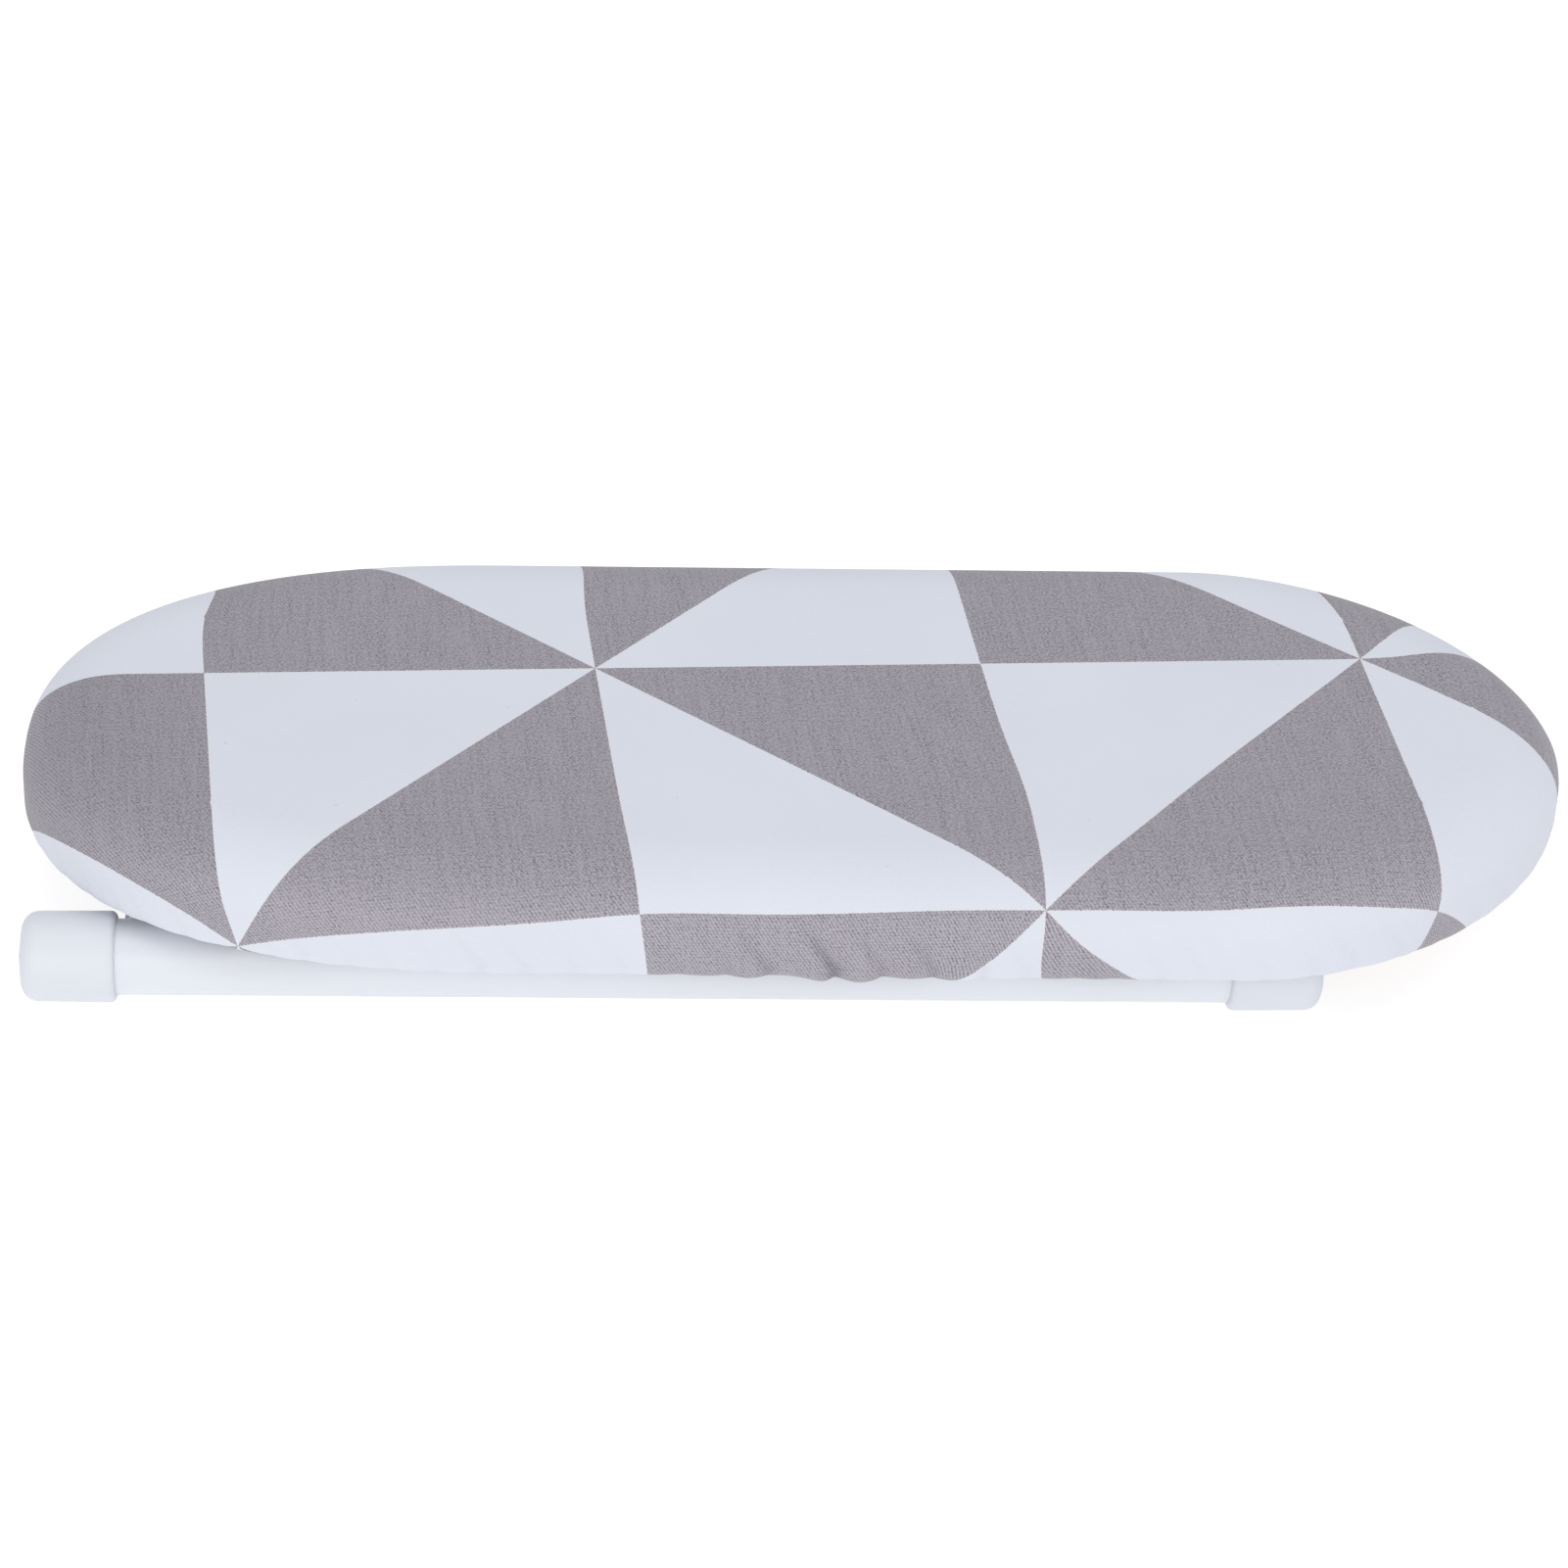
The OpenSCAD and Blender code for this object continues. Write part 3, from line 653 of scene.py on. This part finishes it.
def plywood():
    """Sanded birch faces, with the plies showing round the edge."""
    material, tree, shader, place = new_material("birch_plywood", Specular_IOR_Level=0.3)
    parts = add(tree, "SeparateXYZ", {0: place})
    grain = noise(tree, place, 120, 5, 0.62, (0.05, 1, 0.05))
    figure = noise(tree, place, 14, 3, 0.5, (0.25, 1, 0.1))
    face = mix(tree, between(tree, grain, 0.32, 0.68), rgb(0.46, 0.31, 0.175), rgb(0.62, 0.46, 0.29))
    face = mix(tree, between(tree, figure, 0.35, 0.65, 0, 0.5), face, rgb(0.56, 0.40, 0.245))
    ply = calc(tree, "SINE", calc(tree, "MULTIPLY", parts.outputs[2], math.tau / (3 * MM)))
    plies = mix(tree, between(tree, ply, -0.2, 0.2), rgb(0.38, 0.25, 0.14), rgb(0.60, 0.44, 0.28))
    upright = add(tree, "SeparateXYZ", {0: add(tree, "NewGeometry").outputs["True Normal"]}).outputs[2]
    is_face = calc(tree, "GREATER_THAN", calc(tree, "ABSOLUTE", upright), 0.85)
    colour = mix(tree, is_face, plies, face)
    roughness = between(tree, grain, 0.3, 0.7, 0.55, 0.72)
    finish_shader(tree, shader, colour, roughness, bump(tree, grain, 0.35, 0.15 * MM))
    return material


def sponge_foam():
    material, tree, shader, place = new_material("open_cell_sponge", Specular_IOR_Level=0.1)
    cells = add(tree, "TexVoronoi", {"Vector": place, "Scale": 700.0}).outputs["Distance"]
    colour = mix(tree, between(tree, cells, 0.0, 0.6), rgb(0.62, 0.54, 0.33), rgb(0.84, 0.78, 0.58))
    finish_shader(tree, shader, colour, between(tree, cells, 0, 0.6, 0.95, 0.85),
                  bump(tree, cells, 0.8, 0.5 * MM))
    return material


def plain_moulding(name, light, dark, rough_low, rough_high, grain_scale, **values):
    """Rubber, nylon or machined brass: a fine grain and a cloudy tone."""
    material, tree, shader, place = new_material(name, **values)
    edge = add(tree, "Bevel", {"Radius": 0.3 * MM}, samples=4).outputs[0]
    grain = noise(tree, place, grain_scale, 3, 0.6)
    colour = mix(tree, between(tree, noise(tree, place, 80, 4), 0.3, 0.7), light, dark)
    finish_shader(tree, shader, colour, between(tree, grain, 0.3, 0.7, rough_low, rough_high),
                  bump(tree, grain, 0.25, 0.05 * MM, edge))
    return material


def braided_elastic():
    material, tree, shader, place = new_material("braided_elastic", Sheen_Weight=0.2)
    braid = add(tree, "TexWave", {"Vector": place, "Scale": 420.0, "Distortion": 1.0}).outputs["Fac"]
    colour = mix(tree, braid, rgb(0.58, 0.58, 0.57), rgb(0.78, 0.78, 0.76))
    finish_shader(tree, shader, colour, between(tree, braid, 0, 1, 0.9, 0.75),
                  bump(tree, braid, 0.6, 0.2 * MM))
    return material


def sewing_thread():
    material, tree, shader, place = new_material("sewing_thread", Sheen_Weight=0.2)
    twist = noise(tree, place, 4000, 2, 0.6, (1, 0.3, 1))
    colour = mix(tree, twist, rgb(0.62, 0.63, 0.68), rgb(0.80, 0.81, 0.84))
    finish_shader(tree, shader, colour, between(tree, twist, 0, 1, 0.7, 0.9),
                  bump(tree, twist, 0.5, 0.05 * MM))
    return material


def paint(piece, material):
    piece.data.materials.clear()
    piece.data.materials.append(material)


PLASTIC_LIGHT, PLASTIC_DARK = rgb(0.662, 0.684, 0.728), rgb(0.632, 0.655, 0.704)
MATERIALS = {
    "powder_coat": painted_steel(),
    "cap_plastic": moulded_plastic("foot_cap_white", PLASTIC_LIGHT, PLASTIC_DARK),
    "knob_plastic": moulded_plastic("knob_white", PLASTIC_LIGHT, PLASTIC_DARK),
    "plated_steel": plated_steel(),
    "nylon": plain_moulding("natural_nylon", rgb(0.70, 0.69, 0.62), rgb(0.64, 0.63, 0.57), 0.38, 0.5, 900),
    "rubber": plain_moulding("bumper_rubber", rgb(0.030, 0.030, 0.032), rgb(0.045, 0.045, 0.047),
                             0.7, 0.88, 1500),
    "brass": plain_moulding("insert_brass", rgb(0.75, 0.56, 0.25), rgb(0.66, 0.48, 0.20), 0.25, 0.4, 1200,
                            Metallic=1.0),
    "plywood": plywood(),
    "sponge": sponge_foam(),
    "elastic": braided_elastic(),
    "white_cotton": cotton_material("plain_cotton", False),
    "printed_cotton": cotton_material("printed_cotton", True),
}


# ---------- build ----------

def dress_frame():
    """Gives each CAD node its slot's material."""
    for sub_part in frame["record"]["subparts"]:
        paint(nodes[sub_part["node"]], MATERIALS[sub_part["material_slot"]])


def make_camera():
    forward = Vector((math.sin(CAMERA_TURN) * math.cos(CAMERA_RISE),
                      math.cos(CAMERA_TURN) * math.cos(CAMERA_RISE), -math.sin(CAMERA_RISE)))
    right = Vector((math.cos(CAMERA_TURN), -math.sin(CAMERA_TURN), 0))
    down = forward.cross(right)
    image_right = right * math.cos(CAMERA_ROLL) + down * math.sin(CAMERA_ROLL)
    image_up = right * math.sin(CAMERA_ROLL) - down * math.cos(CAMERA_ROLL)
    camera = bpy.data.objects.new("camera", bpy.data.cameras.new("camera"))
    camera.data.lens = CAMERA_LENS
    camera.data.sensor_width = 36
    camera.matrix_world = Matrix.Translation(CAMERA_AIM - forward * CAMERA_DISTANCE) @ Matrix(
        (image_right, image_up, -forward)).transposed().to_4x4()
    bpy.context.scene.collection.objects.link(camera)
    bpy.context.scene.camera = camera


def area_light(name, place, aim, size, power, colour):
    light = bpy.data.lights.new(name, "AREA")
    light.shape = "RECTANGLE"
    light.size, light.size_y = size
    light.energy = power
    light.color = colour
    lamp = bpy.data.objects.new(name, light)
    lamp.location = place
    lamp.rotation_euler = (Vector(aim) - Vector(place)).to_track_quat("-Z", "Y").to_euler()
    bpy.context.scene.collection.objects.link(lamp)


def make_floor():
    """A wide floor, lit a little like a light table so that shadows stay pale, and clear from beneath."""
    mesh = bpy.data.meshes.new("floor")
    reach = 12.0
    mesh.from_pydata([(-reach, -reach, 0), (reach, -reach, 0), (reach, reach, 0), (-reach, reach, 0)], [],
                     [(0, 1, 2, 3)])
    floor = bpy.data.objects.new("floor", mesh)
    floor.location.z = -0.2 * MM
    bpy.context.scene.collection.objects.link(floor)
    material, tree, shader, place = new_material("studio_floor", Specular_IOR_Level=0.05, Roughness=0.9,
                                                 Emission_Color=rgb(1, 1, 1), Emission_Strength=0.70)
    colour = mix(tree, noise(tree, place, 3, 2), rgb(0.44, 0.44, 0.445), rgb(0.46, 0.46, 0.465))
    tree.links.new(colour, shader.inputs["Base Color"])
    beneath = add(tree, "NewGeometry").outputs["Backfacing"]
    clear = add(tree, "BsdfTransparent").outputs[0]
    seen = add(tree, "MixShader", {0: beneath, 1: shader.outputs[0], 2: clear}).outputs[0]
    tree.links.new(seen, tree.nodes["Material Output"].inputs["Surface"])
    paint(floor, material)


def make_studio():
    """A pale floor under a bright, even dome, with one wide soft light in front."""
    make_floor()
    world = bpy.data.worlds.new("studio")
    world.use_nodes = True
    world.node_tree.nodes["Background"].inputs["Color"].default_value = rgb(0.97, 0.98, 1.0)
    world.node_tree.nodes["Background"].inputs["Strength"].default_value = 0.70
    bpy.context.scene.world = world
    bpy.context.scene.view_settings.view_transform = "Standard"
    area_light("front_softbox", (-0.4, -2.2, 1.0), (0, 0, 0.03), (2.4, 1.6), 17, (1.0, 0.99, 0.98))
    area_light("top_softbox", (0.3, -0.3, 2.4), (0, 0, 0), (2.0, 2.0), 18.5, (1.0, 1.0, 1.0))


make_camera()
make_studio()
dress_frame()
cover = make_cover()
paint(cover, MATERIALS["printed_cotton"])
casing = make_casing()
paint(casing, MATERIALS["white_cotton"])
stitches = make_stitches()
paint(stitches, sewing_thread())
sponge = make_sponge()
paint(sponge, MATERIALS["sponge"])
